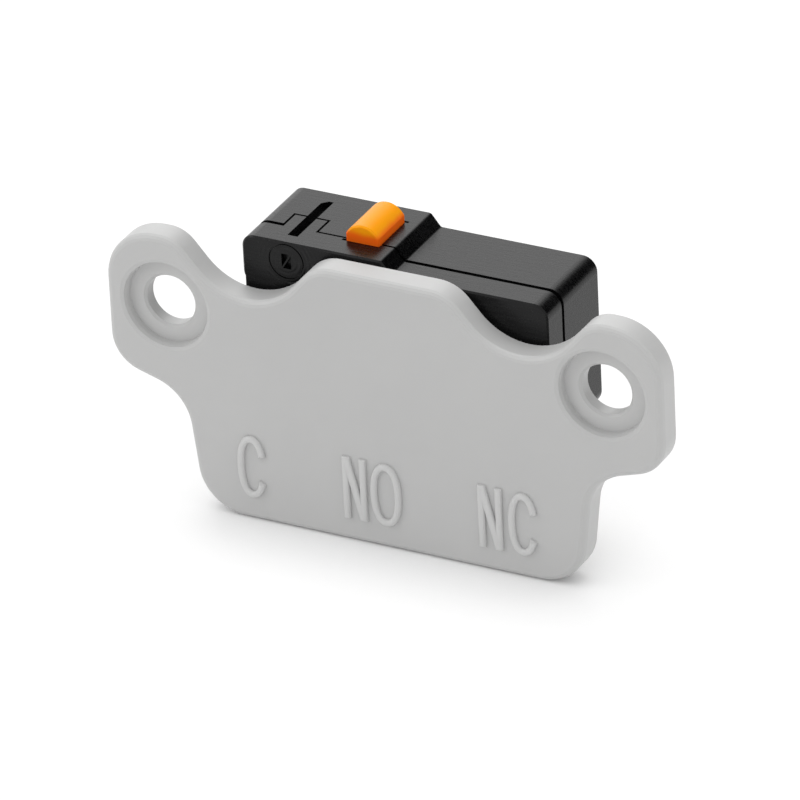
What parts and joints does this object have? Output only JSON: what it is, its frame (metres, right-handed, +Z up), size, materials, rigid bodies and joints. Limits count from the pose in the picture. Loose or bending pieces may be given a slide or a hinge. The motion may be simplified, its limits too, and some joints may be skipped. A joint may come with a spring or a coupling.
{
  "type": "auxiliary contact block",
  "caption": "Snap-action changeover switch with an orange plunger, staked to a grey moulded plate with two counterbored screw ears; terminals behind its lower edge.",
  "frame": {"origin": "midway between the two screw holes, on the plate's flat back face", "axes": "+X along the plate through both screw holes, towards the normally closed terminal; +Y from the plate's back face into the switch; +Z up, the way the plunger points"},
  "size_m": [0.036, 0.0093, 0.0189],
  "materials": {
    "grey_plastic": "light grey moulded plastic, fine satin",
    "black_plastic": "black moulded plastic, slightly scuffed",
    "orange_plastic": "orange moulded plastic, glossy",
    "plated_brass": "silver-plated brass strip, stamped",
    "spring_bronze": "phosphor bronze strip",
    "spring_steel": "bright stainless spring steel",
    "silver": "silver alloy contact rivet"
  },
  "bodies": {
    "block": {"mounting_plate": "grey_plastic", "switch_cover": "black_plastic", "switch_housing": "black_plastic", "com_terminal": "plated_brass", "no_terminal": "plated_brass", "nc_terminal": "plated_brass", "no_fixed_contact": "silver", "nc_fixed_contact": "silver"},
    "plunger": {"plunger": "orange_plastic"},
    "actuating_lever": {"actuating_lever": "spring_steel"},
    "contact_lever": {"contact_lever": "spring_bronze", "moving_contact": "silver", "snap_spring": "spring_steel"}
  },
  "joints": [
    {"name": "plunger_press", "type": "slide", "parent": "block", "child": "plunger", "axis": [0, 0, -1], "range_m": [0, 0.001], "stiffness_N_per_m": 150, "springref_m": -0.003},
    {"name": "actuating_lever_pivot", "type": "hinge", "parent": "block", "child": "actuating_lever", "pos_m": [-0.0082, 0.0033, 0.00258], "axis": [0, 1, 0], "range_deg": [0, 10.65]},
    {"name": "contact_lever_pivot", "type": "hinge", "parent": "block", "child": "contact_lever", "pos_m": [-0.00462, 0.0033, 0.00086], "axis": [0, 1, 0], "range_deg": [0, 2.68], "deforming": ["snap_spring"]}
  ],
  "couplings": [
    {"joint": "actuating_lever_pivot", "follows": "plunger_press", "rad_per_m": 185.2},
    {"joint": "contact_lever_pivot", "follows": "plunger_press", "rad_per_m": 46.69}
  ]
}
